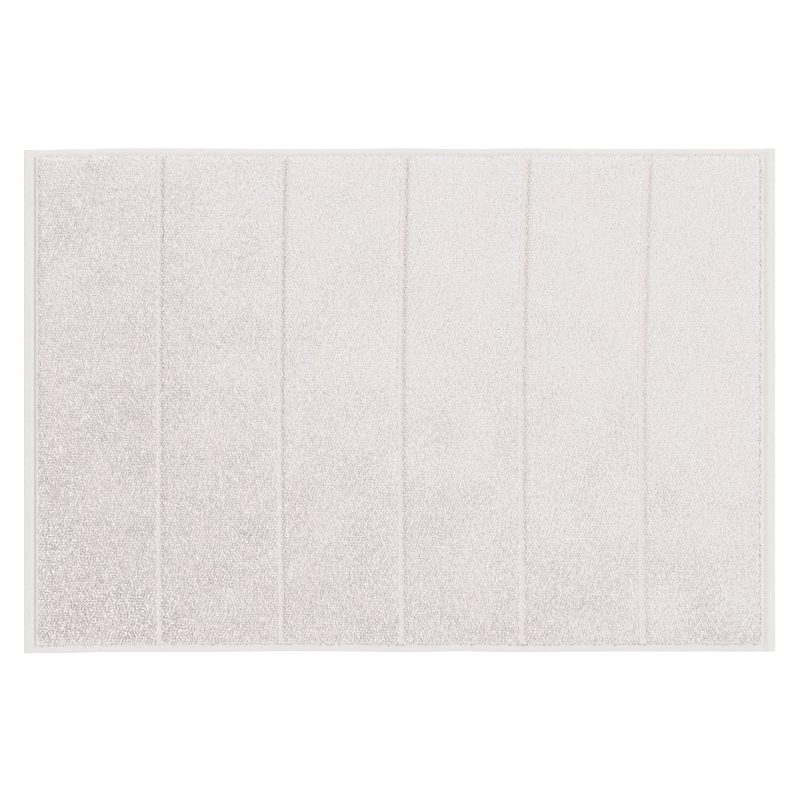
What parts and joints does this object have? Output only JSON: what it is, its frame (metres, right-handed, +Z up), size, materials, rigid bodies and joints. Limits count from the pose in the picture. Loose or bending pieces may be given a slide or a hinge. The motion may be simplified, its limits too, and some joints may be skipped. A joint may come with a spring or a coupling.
{
  "type": "bath mat",
  "caption": "Rectangular woven terry bath mat with pile on both faces in equal bands divided by flat woven lines, and turned, stitched hems on all edges.",
  "frame": {"origin": "on the floor under the middle of the mat, at the bottom centre of its box", "axes": "+X along the mat's length towards the right end hem, +Y across it towards the rear side hem, +Z up out of the face pile"},
  "size_m": [0.9, 0.6, 0.0086],
  "materials": {
    "terry_pile": "matte looped cotton terry",
    "ground_weave": "matte plain-woven cotton",
    "hem_cloth": "matte flat-woven cotton",
    "seam_thread": "satin spun sewing thread"
  },
  "bodies": {
    "root": {"ground_cloth": "ground_weave", "back_pile_1": "terry_pile", "face_pile_1": "terry_pile", "back_pile_2": "terry_pile", "face_pile_2": "terry_pile", "back_pile_3": "terry_pile", "face_pile_3": "terry_pile", "back_pile_4": "terry_pile", "face_pile_4": "terry_pile", "back_pile_5": "terry_pile", "face_pile_5": "terry_pile", "back_pile_6": "terry_pile", "face_pile_6": "terry_pile", "hem_left": "hem_cloth", "needle_thread_left": "seam_thread", "bobbin_thread_left": "seam_thread", "hem_right": "hem_cloth", "needle_thread_right": "seam_thread", "bobbin_thread_right": "seam_thread", "hem_front": "hem_cloth", "needle_thread_front": "seam_thread", "bobbin_thread_front": "seam_thread", "hem_rear": "hem_cloth", "needle_thread_rear": "seam_thread", "bobbin_thread_rear": "seam_thread"}
  },
  "joints": []
}
